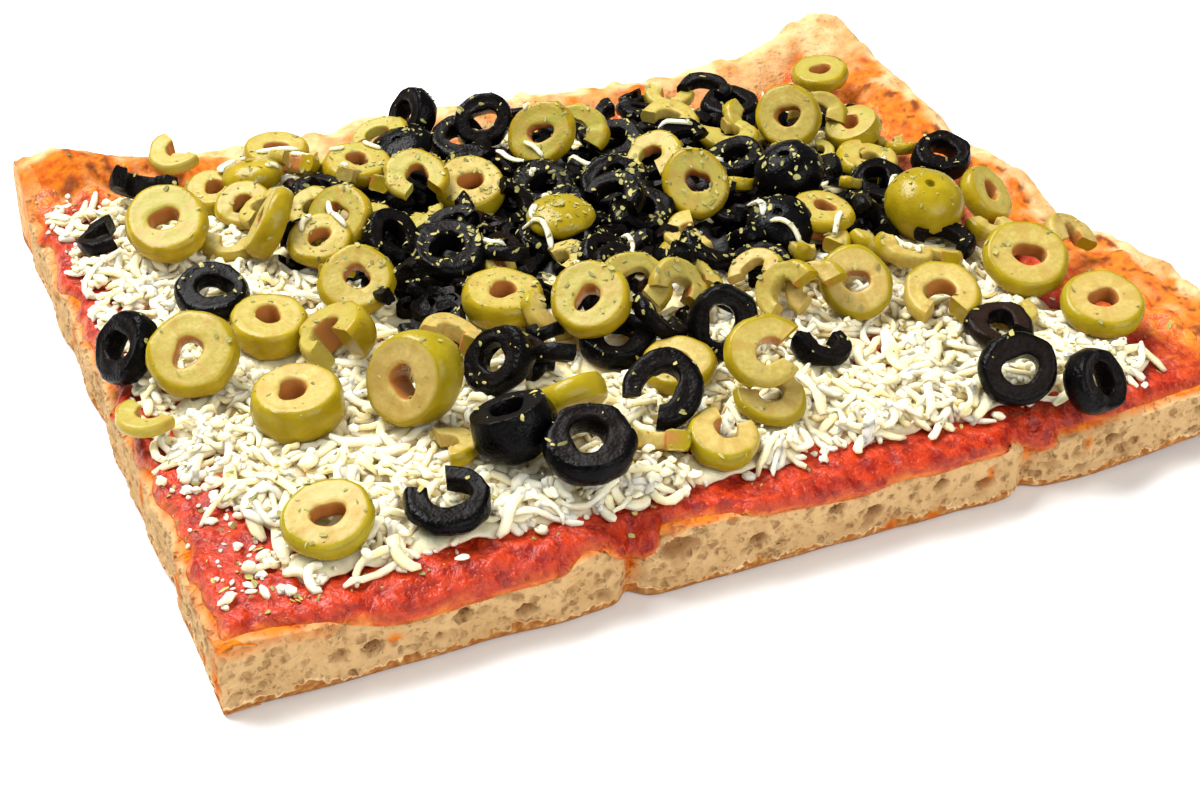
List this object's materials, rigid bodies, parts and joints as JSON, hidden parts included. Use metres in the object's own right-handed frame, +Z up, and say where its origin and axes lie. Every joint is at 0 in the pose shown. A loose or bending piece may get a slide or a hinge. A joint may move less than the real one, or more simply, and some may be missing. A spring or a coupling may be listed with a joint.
{
  "type": "olive pizza slab",
  "caption": "Rectangular slab of pan pizza with tomato sauce, grated cheese and sliced olives, two cut sides and two crust sides.",
  "frame": {"origin": "on the underside, below the middle of the slab's bounding box", "axes": "+X along the front cut from the left cut to the right crust, +Y from the front cut to the back crust, +Z up"},
  "size_m": [0.2683, 0.2171, 0.0414],
  "materials": {
    "bread": "baked crumb and crust",
    "sauce": "wet tomato pulp",
    "cheese": "moist grated cheese",
    "green_olive": "moist skin and paler cut faces",
    "black_olive": "moist, almost black"
  },
  "bodies": {
    "root": {"black_olive_01": "black_olive", "black_olive_02": "black_olive", "black_olive_03": "black_olive", "black_olive_04": "black_olive", "black_olive_05": "black_olive", "black_olive_06": "black_olive", "black_olive_07": "black_olive", "black_olive_08": "black_olive", "black_olive_09": "black_olive", "black_olive_10": "black_olive", "black_olive_11": "black_olive", "black_olive_12": "black_olive", "black_olive_13": "black_olive", "black_olive_14": "black_olive", "bread_base": "bread", "grated_cheese": "cheese", "green_olive_01": "green_olive", "green_olive_02": "green_olive", "green_olive_03": "green_olive", "green_olive_04": "green_olive", "green_olive_05": "green_olive", "green_olive_06": "green_olive", "green_olive_07": "green_olive", "green_olive_08": "green_olive", "green_olive_09": "green_olive", "green_olive_10": "green_olive", "green_olive_11": "green_olive", "green_olive_12": "green_olive", "green_olive_13": "green_olive", "green_olive_14": "green_olive", "green_olive_15": "green_olive", "green_olive_16": "green_olive", "green_olive_17": "green_olive", "green_olive_18": "green_olive", "green_olive_19": "green_olive", "green_olive_20": "green_olive", "green_olive_21": "green_olive", "green_olive_22": "green_olive", "green_olive_23": "green_olive", "green_olive_24": "green_olive", "olive_heap": "green_olive", "tomato_sauce": "sauce"}
  },
  "joints": []
}
